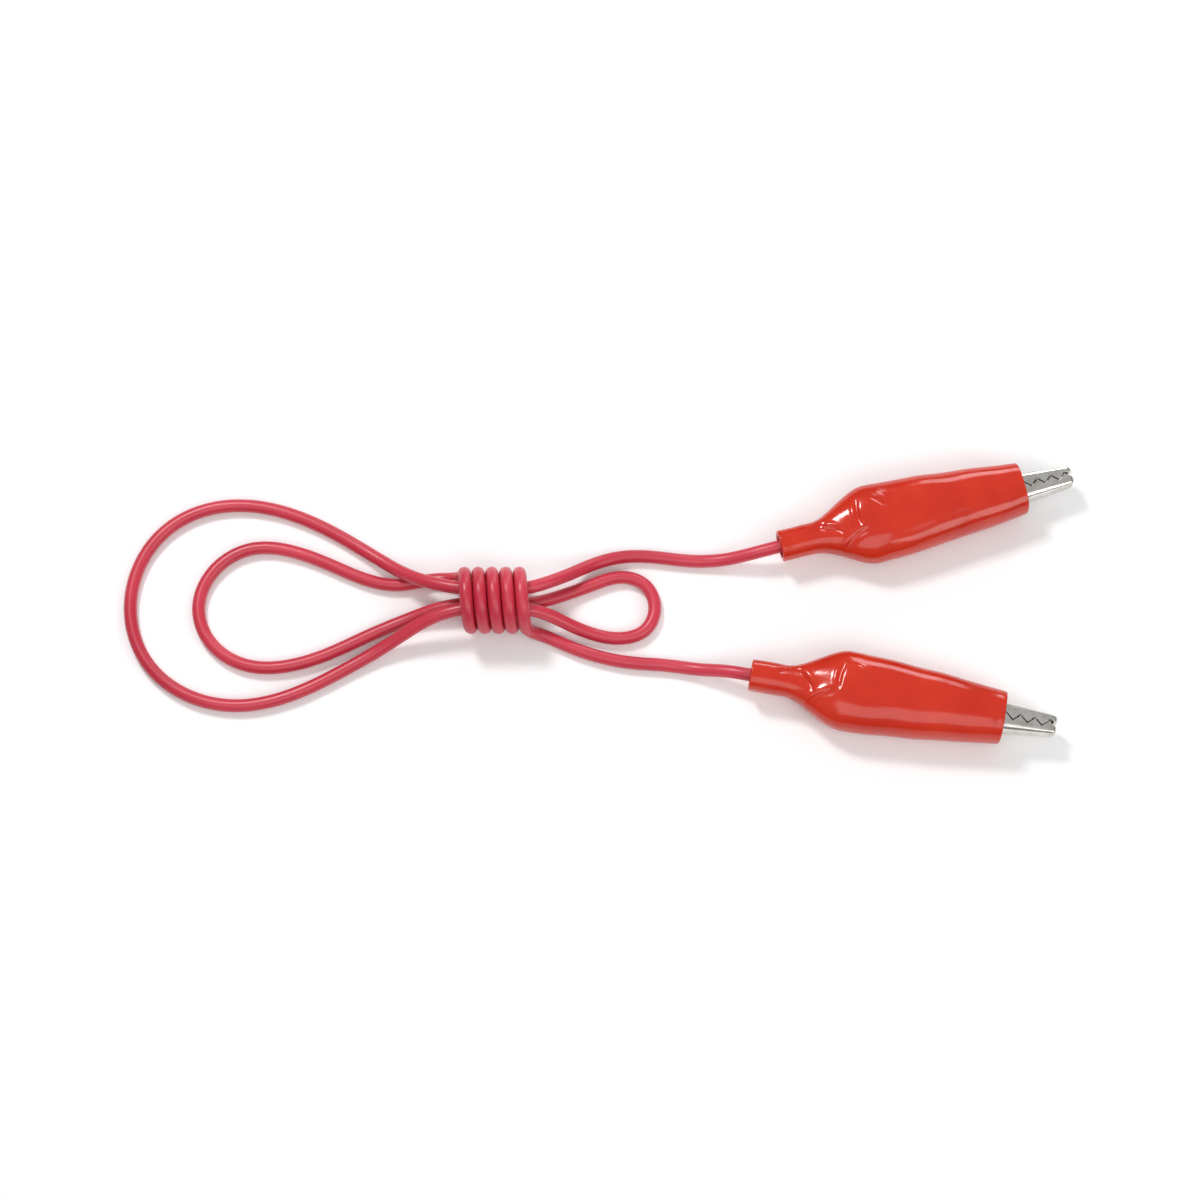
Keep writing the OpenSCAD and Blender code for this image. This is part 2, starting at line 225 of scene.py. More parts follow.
def grid_faces(rows, columns, closed_rows=False, closed_columns=True):
    """Quads of a grid of points stored row by row. A closed direction joins its last line to its first."""
    r = np.arange(rows if closed_rows else rows - 1)[:, None]
    c = np.arange(columns if closed_columns else columns - 1)[None, :]
    r1, c1 = (r + 1) % rows, (c + 1) % columns
    corners = [r * columns + c, r * columns + c1, r1 * columns + c1, r1 * columns + c]
    return np.stack(corners, -1).reshape(-1, 4)


def make_piece(name, points, faces, material, uv=None, smooth=True):
    """A mesh object at the origin, from points in metres. uv holds one pair for each face corner."""
    mesh = bpy.data.meshes.new(name)
    mesh.from_pydata(np.asarray(points).tolist(), [], [list(map(int, f)) for f in faces])
    mesh.polygons.foreach_set("use_smooth", [smooth] * len(mesh.polygons))
    if uv is not None:
        layer = mesh.uv_layers.new(name="UVMap")
        layer.data.foreach_set("uv", np.asarray(uv, float).ravel())
    mesh.materials.append(material)
    mesh.update()
    piece = bpy.data.objects.new(name, mesh)
    bpy.context.scene.collection.objects.link(piece)
    return piece


# ---- Materials ----

def srgb(code):
    """An sRGB hex colour as linear red, green, blue and alpha."""
    c = np.array([int(code[i:i + 2], 16) for i in (1, 3, 5)]) / 255
    linear = np.where(c <= 0.04045, c / 12.92, ((c + 0.055) / 1.055) ** 2.4)
    return (*linear.tolist(), 1)


def add(tree, kind, links=None, inputs=None, **settings):
    """Adds a node. Links maps an input to another node's output, inputs maps an input to a value."""
    made = tree.nodes.new(kind)
    for key, value in settings.items():
        setattr(made, key, value)
    for key, value in (inputs or {}).items():
        made.inputs[key].default_value = value
    for key, source in (links or {}).items():
        tree.links.new(source, made.inputs[key])
    return made


def new_material(name):
    """A node material with no nodes in it yet, and its tree."""
    made = bpy.data.materials.new(name)
    made.use_nodes = True
    made.node_tree.nodes.clear()
    return made, made.node_tree


def ramp(tree, source, stops):
    """A colour ramp through (position, hex colour) stops."""
    made = add(tree, "ShaderNodeValToRGB", {"Fac": source})
    band = made.color_ramp
    while len(band.elements) < len(stops):
        band.elements.new(0.5)
    for element, (at, code) in zip(band.elements, stops):
        element.position = at
        element.color = srgb(code)
    return made.outputs["Color"]


def dipped_vinyl():
    """Dip-moulded soft PVC, red. It comes off its former glossy, with a faint orange-peel about 0.8 mm
    across and slow waves about 5 mm across, and is a little translucent where its wall is thin."""
    made, tree = new_material("dipped soft PVC, red")
    where = add(tree, "ShaderNodeTexCoord").outputs["Object"]
    slow = add(tree, "ShaderNodeTexNoise", {"Vector": where}, {"Scale": 1 / (5 * MM), "Detail": 2})
    peel = add(tree, "ShaderNodeTexNoise", {"Vector": where}, {"Scale": 1 / (0.8 * MM), "Detail": 3})
    colour = ramp(tree, slow.outputs["Fac"], [(0.3, "#C1260F"), (0.5, "#C72A12"), (0.7, "#CD3015")])
    rough = add(tree, "ShaderNodeMapRange", {"Value": peel.outputs["Fac"]},
                {"From Min": 0.3, "From Max": 0.7, "To Min": 0.11, "To Max": 0.19})
    waves = add(tree, "ShaderNodeBump", {"Height": slow.outputs["Fac"]},
                {"Strength": 0.25, "Distance": 0.25 * MM})
    skin = add(tree, "ShaderNodeBump", {"Height": peel.outputs["Fac"], "Normal": waves.outputs["Normal"]},
               {"Strength": 0.12, "Distance": 0.05 * MM})
    shader = add(tree, "ShaderNodeBsdfPrincipled",
                 {"Base Color": colour, "Roughness": rough.outputs["Result"],
                  "Normal": skin.outputs["Normal"]},
                 {"IOR": 1.53, "Subsurface Weight": 0.08, "Subsurface Scale": 0.6 * MM,
                  "Subsurface Radius": (1, 0.25, 0.12), "Specular IOR Level": 0.45})
    add(tree, "ShaderNodeOutputMaterial", {"Surface": shader.outputs["BSDF"]})
    return made


def extruded_vinyl():
    """Extruded soft PVC insulation, crimson. It has a satin skin, a faint swell where the laid strands
    press out from inside with a lay of 9 mm, and fine drag lines along its length."""
    made, tree = new_material("extruded PVC insulation, crimson")
    uv = add(tree, "ShaderNodeUVMap", uv_map="UVMap").outputs["UV"]
    where = add(tree, "ShaderNodeTexCoord").outputs["Object"]
    lay = add(tree, "ShaderNodeMapping", {"Vector": uv}, {"Scale": (1 / (9 * MM), 1, 1)})
    strands = add(tree, "ShaderNodeTexWave", {"Vector": lay.outputs["Vector"]},
                  {"Scale": 0.9, "Distortion": 0.4, "Detail": 1}, bands_direction="DIAGONAL")
    drag = add(tree, "ShaderNodeMapping", {"Vector": uv}, {"Scale": (1 / (12 * MM), 40, 1)})
    lines = add(tree, "ShaderNodeTexNoise", {"Vector": drag.outputs["Vector"]}, {"Scale": 1, "Detail": 2})
    shade = add(tree, "ShaderNodeTexNoise", {"Vector": where}, {"Scale": 1 / (14 * MM), "Detail": 2})
    colour = ramp(tree, shade.outputs["Fac"], [(0.3, "#B8243A"), (0.5, "#C42E43"), (0.7, "#CF3A4D")])
    rough = add(tree, "ShaderNodeMapRange", {"Value": lines.outputs["Fac"]},
                {"From Min": 0.3, "From Max": 0.7, "To Min": 0.3, "To Max": 0.42})
    swell = add(tree, "ShaderNodeBump", {"Height": strands.outputs["Fac"]},
                {"Strength": 0.1, "Distance": 0.03 * MM})
    skin = add(tree, "ShaderNodeBump", {"Height": lines.outputs["Fac"], "Normal": swell.outputs["Normal"]},
               {"Strength": 0.15, "Distance": 0.02 * MM})
    shader = add(tree, "ShaderNodeBsdfPrincipled",
                 {"Base Color": colour, "Roughness": rough.outputs["Result"],
                  "Normal": skin.outputs["Normal"]},
                 {"IOR": 1.53, "Subsurface Weight": 0.1, "Subsurface Scale": 0.5 * MM,
                  "Subsurface Radius": (1, 0.3, 0.25)})
    add(tree, "ShaderNodeOutputMaterial", {"Surface": shader.outputs["BSDF"]})
    return made


def nickel_plate():
    """Bright nickel over pressed mild steel. The plate is mirror-like, softened by the press tool's drag
    marks about 0.15 mm apart, and slightly warm and dull in patches about 2 mm across from handling."""
    made, tree = new_material("bright nickel plate on pressed steel")
    where = add(tree, "ShaderNodeTexCoord").outputs["Object"]
    stretched = add(tree, "ShaderNodeMapping", {"Vector": where}, {"Scale": (0.12, 1, 1)})
    drag = add(tree, "ShaderNodeTexNoise", {"Vector": stretched.outputs["Vector"]},
               {"Scale": 1 / (0.15 * MM), "Detail": 3})
    patches = add(tree, "ShaderNodeTexNoise", {"Vector": where}, {"Scale": 1 / (2 * MM), "Detail": 4})
    colour = ramp(tree, patches.outputs["Fac"], [(0.3, "#C8C2B8"), (0.55, "#E2DFD9"), (0.75, "#EFEDE9")])
    rough = add(tree, "ShaderNodeMapRange", {"Value": patches.outputs["Fac"]},
                {"From Min": 0.3, "From Max": 0.7, "To Min": 0.26, "To Max": 0.14})
    marks = add(tree, "ShaderNodeBump", {"Height": drag.outputs["Fac"]},
                {"Strength": 0.18, "Distance": 0.02 * MM})
    shader = add(tree, "ShaderNodeBsdfPrincipled",
                 {"Base Color": colour, "Roughness": rough.outputs["Result"],
                  "Normal": marks.outputs["Normal"]},
                 {"Metallic": 1})
    add(tree, "ShaderNodeOutputMaterial", {"Surface": shader.outputs["BSDF"]})
    return made


def metal(name, light, dark, grain, rough):
    """A plain metal whose colour and roughness vary in grains of that size in mm."""
    made, tree = new_material(name)
    where = add(tree, "ShaderNodeTexCoord").outputs["Object"]
    grains = add(tree, "ShaderNodeTexNoise", {"Vector": where}, {"Scale": 1 / (grain * MM), "Detail": 3})
    colour = ramp(tree, grains.outputs["Fac"], [(0.35, dark), (0.65, light)])
    dull = add(tree, "ShaderNodeMapRange", {"Value": grains.outputs["Fac"]},
               {"From Min": 0.3, "From Max": 0.7, "To Min": rough + 0.08, "To Max": rough - 0.05})
    pits = add(tree, "ShaderNodeBump", {"Height": grains.outputs["Fac"]},
               {"Strength": 0.15, "Distance": 0.02 * MM})
    shader = add(tree, "ShaderNodeBsdfPrincipled",
                 {"Base Color": colour, "Roughness": dull.outputs["Result"],
                  "Normal": pits.outputs["Normal"]},
                 {"Metallic": 1})
    add(tree, "ShaderNodeOutputMaterial", {"Surface": shader.outputs["BSDF"]})
    return made


def table_top():
    """Matt white card, plain, so the lead's own shadow is all that shows on it."""
    made, tree = new_material("matt white card")
    shader = add(tree, "ShaderNodeBsdfPrincipled", inputs={"Base Color": srgb("#FAFAFA"), "Roughness": 0.9})
    add(tree, "ShaderNodeOutputMaterial", {"Surface": shader.outputs["BSDF"]})
    return made


# ---- Stage ----

def make_camera():
    """A camera that looks down at the lead from its near side, with the loops to the left."""
    low, high = np.array(cad_box)
    middle = (low + high) / 2
    data = bpy.data.cameras.new("camera")
    data.lens = 85
    data.clip_start = 0.01
    camera = bpy.data.objects.new("camera", data)
    bpy.context.scene.collection.objects.link(camera)
    share = 0.8                 # of the view's width that the lead fills
    distance = (high - low)[0] / share * data.lens / data.sensor_width
    tilt = math.radians(74)
    camera.location = middle + distance * np.array([0, -math.cos(tilt), math.sin(tilt)])
    camera.rotation_euler = (math.pi / 2 - tilt, 0, 0)
    bpy.context.scene.camera = camera


def area_light(name, place, size, power, colour):
    """A square soft light at a place in mm, turned to face the lead's middle."""
    data = bpy.data.lights.new(name, "AREA")
    data.size = size * MM
    data.energy = power
    data.color = srgb(colour)[:3]
    lamp = bpy.data.objects.new(name, data)
    at = np.array(place) * MM
    aim = np.array([-0.043, 0, 0.003]) - at
    lamp.location = at
    heading = math.atan2(aim[1], aim[0])
    dip = math.atan2(-aim[2], math.hypot(aim[0], aim[1]))
    lamp.rotation_euler = (math.pi / 2 - dip, 0, heading - math.pi / 2)
    bpy.context.scene.collection.objects.link(lamp)


def make_stage():
    """A pale table, four soft lights, and a dim room that is paler overhead. No light stands where the
    tops of the boots would mirror it to the camera, so they keep their full red."""
    size, top = 3, -0.01 * MM
    corners = [(-size, -size, top), (size, -size, top), (size, size, top), (-size, size, top)]
    table = make_piece("table", corners, [(0, 1, 2, 3)], table_top(), smooth=False)
    area_light("window", (-180, 200, 330), 80, 0.75, "#FFFFFF")
    area_light("ceiling panel", (-43, -190, 400), 300, 0.48, "#FFFFFF")
    area_light("fill", (220, -200, 240), 200, 0.4, "#FFFDFA")
    area_light("rim", (60, 320, 140), 120, 0.25, "#FAFCFF")
    world = bpy.data.worlds.new("room")
    world.use_nodes = True
    tree = world.node_tree
    direction = add(tree, "ShaderNodeTexCoord").outputs["Generated"]
    height = add(tree, "ShaderNodeSeparateXYZ", {"Vector": direction}).outputs["Z"]
    walls = ramp(tree, height, [(0, "#8C8E90"), (0.35, "#A8AAAC"), (0.75, "#E8E9EA")])
    tree.links.new(walls, tree.nodes["Background"].inputs["Color"])
    tree.nodes["Background"].inputs["Strength"].default_value = 0.6
    bpy.context.scene.world = world
    bpy.context.scene.view_settings.view_transform = "Standard"


# ---- Wire ----

# Points of the route in mm, in order from clip a to clip b. The third value is the rise above REST_Z.
IN_BOOT = [(-14, -2.38, 0), (-17, -1.39, 0), (-21.8, -0.15, 0), (-25, 0, 0)]
FAN_A = [
    (-22, 7.3, 1.9), (-26, 6.8, 0.5), (-31, 6.8, 0), (-36.5, 7.4, 0), (-41, 7.2, 0),
    (-44.5, 5.9, 0.8), (-47.5, 4.1, 2.4), (-50.5, 2.5, 3.9),
]
OUTER_LOOP = [
    (-66, 2.4, 3.8), (-70, 4.2, 2), (-74, 6.8, 0.5), (-79, 10, 0), (-85, 13, 0), (-92, 14.8, 0),
    (-99, 14.1, 0), (-104.8, 10.4, 0), (-108, 4.4, 0), (-108.2, -2.4, 0), (-105.2, -8.7, 0),
    (-99.5, -12.8, 0), (-92.5, -14, 0), (-85.5, -12.4, 0), (-79, -9.2, 0), (-74, -6.4, 0.5),
    (-70, -4.2, 2), (-66, -2.4, 3.8),
]
RETURN_LOOP = [
    (-51, -1.7, 3.3), (-48, -2.6, 1.5), (-44, -3.9, 0.1), (-40, -4.4, 0), (-36.9, -3.2, 0),
    (-35.6, 0, 0), (-36.9, 3.2, 0), (-40, 4.4, 0), (-44, 3.4, 0), (-48, 1.8, 0.4), (-51, 0.6, 1.3),
]
INNER_LOOP = [
    (-66, -0.6, 1.2), (-70, -1.8, 0.2), (-75, -3.9, 0), (-80, -6.3, 0), (-86, -8.3, 0),
    (-92, -8.3, 0), (-97, -5.2, 0), (-99, 0, 0), (-97, 5.4, 0), (-92, 8.5, 0), (-86, 8.1, 0),
    (-80, 5.8, 0), (-75, 3.8, 0), (-71, 3.3, 0), (-68, 3.8, 0), (-65.7, 4.1, 0),
    (-64.3, 4.05, 0.3), (-63.1, 3.9, 1.1), (-62.3, 3.8, 2.3),
]
FAN_B = [
    (-53.1, -3.8, 2.3), (-52.3, -3.9, 1.1), (-51.1, -4.1, 0.3), (-49.7, -4.6, 0),
    (-47, -5.8, 0), (-43.5, -7, 0), (-39, -7.9, 0), (-34, -8.3, 0), (-29.5, -9, 0.5),
    (-26, -9.6, 1.9),
]


def raised(points):
    """Route points in metres, each raised by the height at which the wire rests."""
    return (np.array(points) + [0, 0, REST_Z]) * MM


def run_in_tie(angle, way):
    """A straight run through the tie, on its side at that angle. Way is 1 towards the clips, -1 away."""
    half = TIE_TURNS * TIE_PITCH / 2
    a = math.radians(angle)
    return np.array([
        (TIE_X + half + way * k * half, RUN_R * math.cos(a), TIE_Z + RUN_R * math.sin(a))
        for k in (-1, 0, 1)
    ]) * MM


def tie_turns():
    """The helix wound round the runs, (x + pitch·turn, r·cos a, z + r·sin a): 14 points to a turn, rising on
    the +y side."""
    turn = np.arange(0, TIE_TURNS + 0.01, 1 / 14)
    a = 2 * np.pi * turn
    return np.stack([TIE_X + TIE_PITCH * turn, TIE_R * np.cos(a), TIE_Z + TIE_R * np.sin(a)], axis=1) * MM


def wire_path():
    """The wire's centre line from clip a's crimp to clip b's, in metres."""
    clip_a, clip_b = CLIPS
    return spline(np.concatenate([
        clip_a.place(IN_BOOT), raised(FAN_A), run_in_tie(30, -1), raised(OUTER_LOOP), run_in_tie(150, 1),
        raised(RETURN_LOOP), run_in_tie(270, -1), raised(INNER_LOOP), tie_turns(), raised(FAN_B),
        clip_b.place(IN_BOOT)[::-1],
    ]), 0.6 * MM)


def make_wire(material):
    """A round tube carried along the path, point = path + r·(cos a·side + sin a·up), with flat cut ends.
    Its UV map holds the distance along the wire in metres, and the share of the way round."""
    path = wire_path()
    sides = 20
    side, up = carried_frames(path)
    a = 2 * np.pi * np.arange(sides) / sides
    rings = path[:, None] + WIRE_R * MM * (np.cos(a)[None, :, None] * side[:, None]
                                           + np.sin(a)[None, :, None] * up[:, None])
    rows = len(path)
    quads = grid_faces(rows, sides)[:, ::-1]
    start = list(range(sides))
    end = [(rows - 1) * sides + k for k in range(sides)][::-1]
    length = np.r_[0, np.cumsum(np.linalg.norm(np.diff(path, axis=0), axis=1))]
    r, c = np.divmod(np.arange(rows * sides), sides)
    quad_uv = np.stack([length[r[quads]], c[quads] / sides], -1)
    quad_uv[:, 1:3, 1] = np.where(quad_uv[:, 1:3, 1] == 0, 1, quad_uv[:, 1:3, 1])
    cap_uv = np.zeros((2 * sides, 2))
    wire = make_piece("wire", rings.reshape(-1, 3), list(quads) + [start, end], material,
                      uv=np.concatenate([quad_uv.reshape(-1, 2), cap_uv]))
    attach(wire, "lead")
    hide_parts("wire_looped_run", "wire_wrap", "wire_short_run")
    CLIPS[0].place((TAIL_X, 0, 0))[0]
    print("wire length in mm:", round(length[-1] / MM, 1))


# ---- Boots ----

def boot_half_width(x):
    """Half the boot's width: a narrow tail, a shoulder over the handles' ends, then a taper to the mouth."""
    tail = mix(TAIL_HALF, SHOULDER_HALF, ease(x, NECK_X, SHOULDER_X))
    share = np.clip((x - SHOULDER_X) / (MOUTH_X - SHOULDER_X), 0, 1)
    front = mix(SHOULDER_HALF, MOUTH_HALF, share ** 1.4)
    return np.where(x < SHOULDER_X, tail, front)


def boot_half_height(x):
    """Half the boot's height: a flattened tail, level over the rivet, slightly lower at the mouth."""
    tail = mix(TAIL_HALF_HEIGHT, HALF_THICK, ease(x, NECK_X, SHOULDER_X + 2))
    front = mix(HALF_THICK, MOUTH_HALF_HEIGHT, ease(x, 0, MOUTH_X))
    return np.where(x < 0, tail, front)


def boot_skin(x, a, inset, power):
    """A point of the boot's skin at x and angle a: a superellipse of that power, less the inset."""
    y = (boot_half_width(x) - inset) * signed_power(np.cos(a), 2 / power)
    z = (boot_half_height(x) - inset) * signed_power(np.sin(a), 2 / power)
    return y, z


# Creases of the soft sleeve: x and y of the middle, length, angle in degrees, depth, width, and the face
# it is in, 1 for the top and -1 for the underside
CREASES = [
    (-19.6, 0.7, 3.4, 18, 0.20, 0.34, 1), (-17.2, 0.3, 3.2, -38, 0.26, 0.36, 1),
    (-13.4, 1.7, 3.4, 72, 0.26, 0.30, 1), (-10.8, 2.4, 2.6, -48, 0.20, 0.32, 1),
    (-15.2, -2.0, 4.2, 38, 0.24, 0.42, 1),
    (-18.6, -0.5, 3.4, -24, 0.22, 0.36, -1), (-14.6, 1.2, 3.8, 64, 0.26, 0.36, -1),
    (-12.0, -2.2, 3.0, -60, 0.20, 0.32, -1),
]


def boot_relief(x, y, up, seed):
    """How far the outer skin sinks, in mm. The sleeve sags by 0.2 between the handles. Each crease is a
    narrow valley, depth·e^-(v/w)², across v and fading along u, with a ridge of 0.4 depth on one side.
    A seeded generator moves and turns each crease a little, and adds three slow waves."""
    rng = np.random.default_rng(seed)
    sink = 0.2 * bump(x, -8.5, 4.5) * bump(y, 0, 2.4)
    for x0, y0, length, angle, depth, width, face in CREASES:
        dx, dy, turn = rng.uniform(-0.7, 0.7), rng.uniform(-0.4, 0.4), rng.uniform(-14, 14)
        t = math.radians(angle + turn)
        u = (x - x0 - dx) * math.cos(t) + (y - y0 - dy) * math.sin(t)
        v = (y - y0 - dy) * math.cos(t) - (x - x0 - dx) * math.sin(t)
        v = v + 0.06 * u * u
        fade = np.exp(-((2 * u / length) ** 4)) * ease(up * face, 0.15, 0.6)
        sink = sink + depth * fade * (bump(v, 0, width) - 0.4 * bump(v, 1.9 * width, width))
    for wave in (7.0, 10.0, 15.0):
        phase = rng.uniform(0, 2 * np.pi, 2)
        across = np.sin(2 * np.pi * y / wave + phase[1])
        sink = sink + 0.035 * np.sin(2 * np.pi * x / wave + phase[0]) * across
    return sink * ease(x, TAIL_X, TAIL_X + 1.5) * ease(-x, -MOUTH_X, -MOUTH_X + 1.5)


def make_boot(clip, material, seed):
    """The soft sleeve: one closed surface that runs along the outer skin, rolls over the mouth, returns
    along the inner skin and rolls over the tail. It is flat where it lies on the table."""
    around = 144
    a = 2 * np.pi * np.arange(around) / around
    xs = np.linspace(TAIL_X, MOUTH_X, 260)
    roll = np.linspace(0, np.pi, 9)[1:-1]
    half_wall = BOOT_WALL / 2
    bulge = 0.7 * half_wall
    x = np.r_[xs, MOUTH_X + bulge * np.sin(roll), xs[::-1], TAIL_X - bulge * np.sin(roll)]
    inset = np.r_[0 * xs, half_wall * (1 - np.cos(roll)),
                  0 * xs + BOOT_WALL, half_wall * (1 + np.cos(roll))]
    x, inset = x[:, None], inset[:, None]
    power = mix(2.5, 3.1, inset / BOOT_WALL)
    y, z = boot_skin(np.clip(x, TAIL_X, MOUTH_X), a, inset, power)
    outer = 1 - inset / BOOT_WALL
    squeeze = 1 - outer * boot_relief(x, y, z / HALF_THICK, seed) / np.hypot(y, z)
    z = np.maximum(z * squeeze, -HALF_THICK)
    points = np.stack(np.broadcast_arrays(x, y * squeeze, z), -1).reshape(-1, 3)
    faces = grid_faces(len(x), around, closed_rows=True)
    boot = make_piece(f"boot_{clip.letter}", clip.place(points), faces, material)
    across = np.array([BEND_SLANT, 1, 0]) / (BEND_SLANT ** 2 + 1)
    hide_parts(f"clip_{clip.letter}_boot")
    clip.place(BEND_START * across)[0]
    clip.place(BEND_END * across)[0]
    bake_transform(boot)


# ---- Metal parts of a clip ----

def tooth_edge(x, phase):
    """Height of the toothed edge at x: a triangle wave, between -TOOTH_H / 2 and TOOTH_H / 2, less half the
    gap between the rows. From the last tooth it runs straight to the nose."""
    last = TOOTH_START + (NOSE_X - 0.5 - TOOTH_START) // (TOOTH_PITCH / 2) * TOOTH_PITCH / 2
    steps = (np.minimum(x, last) - TOOTH_START) / (TOOTH_PITCH / 2)
    wave = phase * (np.abs((steps % 2) - 1) - 0.5) * TOOTH_H
    return mix(wave, -0.35 * TOOTH_H, np.clip((x - last) / (NOSE_X - last), 0, 1)) - BITE_GAP / 2


def jaw_rows(half_width, phase):
    """The jaw's sections in order from the nose to the handle's end. Each is x at the plate, x and y at
    the wall's edge, half width and depth, for the outer face and then for the inner face."""
    rows = []

    def plate(x):
        front = mix(NOSE_DEPTH, JAW_DEPTH, (NOSE_X - NOSE_ROUND - x) / (NOSE_X - NOSE_ROUND - FLARE_X))
        back = JAW_DEPTH + (-x - FLARE_X) * HANDLE_SLOPE
        return np.where(x > FLARE_X, front, np.where(x < -FLARE_X, back, JAW_DEPTH))

    def width(x):
        front = mix(NOSE_HALF_WIDTH, half_width, (NOSE_X - 0.6 - x) / (NOSE_X - 0.6 - EAR_R))
        back = mix(half_width, HANDLE_HALF_WIDTH, ease(-x, EAR_R + 0.4, EAR_R + 2))
        behind = np.where(x < -EAR_R, back, half_width)
        return np.where(x > EAR_R, np.maximum(front, NOSE_HALF_WIDTH), behind)

    def row(x, xe, ye, w, d, xi, wi, di):
        rows.append([float(v) for v in (x, xe, ye, w, d, xi, wi, di)])

    base = NOSE_X - NOSE_ROUND
    for t in np.linspace(np.pi / 2, 0, 9):
        c, n = math.cos(t), math.sin(t)
        x = base + NOSE_ROUND * n
        taper = NOSE_HALF_WIDTH - 0.5 + 0.5 * c
        row(x, x, tooth_edge(x, phase), taper, NOSE_DEPTH * (0.6 + 0.4 * c),
            base + (NOSE_ROUND - SHEET) * n, taper - SHEET, NOSE_DEPTH - SHEET - 0.1 + 0.1 * c)
    step = TOOTH_PITCH / 8
    for x in TOOTH_START + step * np.arange((base - TOOTH_START - 0.05) // step, -0.5, -1):
        row(x, x, tooth_edge(x, phase), width(x), plate(x), x, width(x) - SHEET, plate(x) - SHEET)
    low = tooth_edge(TOOTH_START, phase) - TOOTH_H * (phase + 1) / 2
    for t in np.linspace(0, 1, 6)[:-1]:
        x = mix(TOOTH_START - TOOTH_PITCH / 2, EAR_R + 0.3, t)
        row(x, mix(x, EAR_R * 0.8, t), mix(low, -EAR_R * 0.6, t), width(x), plate(x), x, width(x) - SHEET,
            plate(x) - SHEET)
    for t in np.linspace(0, 1, 25):
        x = mix(EAR_R + 0.2, -EAR_R - 0.2, t)
        a = math.radians(mix(-37, 217, t))
        row(x, EAR_R * math.cos(a), EAR_R * math.sin(a), width(x), plate(x), x, width(x) - SHEET,
            plate(x) - SHEET)
    for t in np.linspace(0, 1, 9)[1:]:
        x = mix(-EAR_R - 0.2, -CHEEK_END, t)
        end = -plate(-CHEEK_END) + SHEET + LIP
        row(x, mix(-EAR_R * 0.8, -CHEEK_END, t), mix(-EAR_R * 0.6, end, t), width(x), plate(x), x,
            width(x) - SHEET, plate(x) - SHEET)
    round_r = HANDLE_HALF_WIDTH
    for x in np.linspace(-CHEEK_END, -HANDLE_L + round_r, 5)[1:]:
        row(x, x, -plate(x) + SHEET + LIP, round_r, plate(x), x, round_r - SHEET, plate(x) - SHEET)
    for t in np.linspace(0, np.pi / 2, 10)[1:]:
        x = -HANDLE_L + round_r * (1 - math.sin(t))
        xi = -HANDLE_L + round_r - (round_r - SHEET) * math.sin(t)
        row(x, x, -plate(x) + SHEET + LIP, max(round_r * math.cos(t), 0.02), plate(x), xi,
            max((round_r - SHEET) * math.cos(t), 0.01), plate(xi) - SHEET)
    return np.array(rows)


def channel_section(xb, xe, ye, w, d, r):
    """One face of the pressed channel: down a wall, round a corner, across the plate, up the other side.
    A corner is a quarter circle, (w - r + r·cos a, -d + r - r·sin a)."""
    wall = np.linspace(0, 1, 5)[:-1]
    arc = np.linspace(0, np.pi / 2, 7)
    flat = np.linspace(1, -1, 6)[1:-1]
    wall, arc, flat = wall[:, None], arc[:, None], flat[:, None]
    z = np.concatenate([w + 0 * wall, w - r + r * np.cos(arc), flat * (w - r)], 0)
    foot = -d + r
    y = np.concatenate([mix(ye, foot, wall), foot - r * np.sin(arc), -d + 0 * flat], 0)
    x = np.concatenate([mix(xe, xb, wall), xb + 0 * arc, xb + 0 * flat], 0)
    half = len(wall) + len(arc)
    return (np.concatenate([x, x[:half][::-1]], 0).T, np.concatenate([y, y[:half][::-1]], 0).T,
            np.concatenate([z, -z[:half][::-1]], 0).T)


def jaw_shell(half_width, phase):
    """The pressed jaw as a closed shell: the outer face of each section, then its inner face backwards.
    The outside of its bend has one radius beside the teeth, and the inside is less by the sheet."""
    x, xe, ye, w, d, xi, wi, di = jaw_rows(half_width, phase).T
    root = -(TOOTH_H + BITE_GAP) / 2
    wall = d + np.where(x > TOOTH_START - TOOTH_PITCH / 2, root, ye)
    corner = np.minimum(BEND_R, 0.7 * np.minimum(w, wall))
    outer = channel_section(x, xe, ye, w, d, corner)
    inner_limit = 0.7 * np.minimum(wi, np.maximum(di + ye, 0))
    inner_corner = np.minimum(np.maximum(corner - SHEET, 0.12), inner_limit)
    inner = channel_section(xi, xi + xe - x, ye, wi, di, inner_corner)
    points = np.stack([np.concatenate([o, i[:, ::-1]], 1) for o, i in zip(outer, inner)], -1)
    rows, columns = points.shape[:2]
    faces = grid_faces(rows, columns)
    half = columns // 2
    first = [tuple(range(half)), tuple(range(half, columns)), (half - 1, half, columns - 1, 0)]
    last = [(b + k + 1, b + columns - 2 - k, b + columns - 1 - k, b + k)
            for b in [(rows - 1) * columns] for k in range(half - 1)]
    return points.reshape(-1, 3), [tuple(f) for f in faces] + first + last


def on_crimp(u, v, z):
    """Points of the crimp's frame in the clip's frame: u runs along the wire, v across it, away from
    the tongue."""
    c, s = math.cos(CRIMP_TILT), math.sin(CRIMP_TILT)
    u, v, z = np.broadcast_arrays(u, v, z)
    return np.stack([CRIMP_AT[0] + u * c - v * s, CRIMP_AT[1] + u * s + v * c, z], -1).reshape(-1, 3)


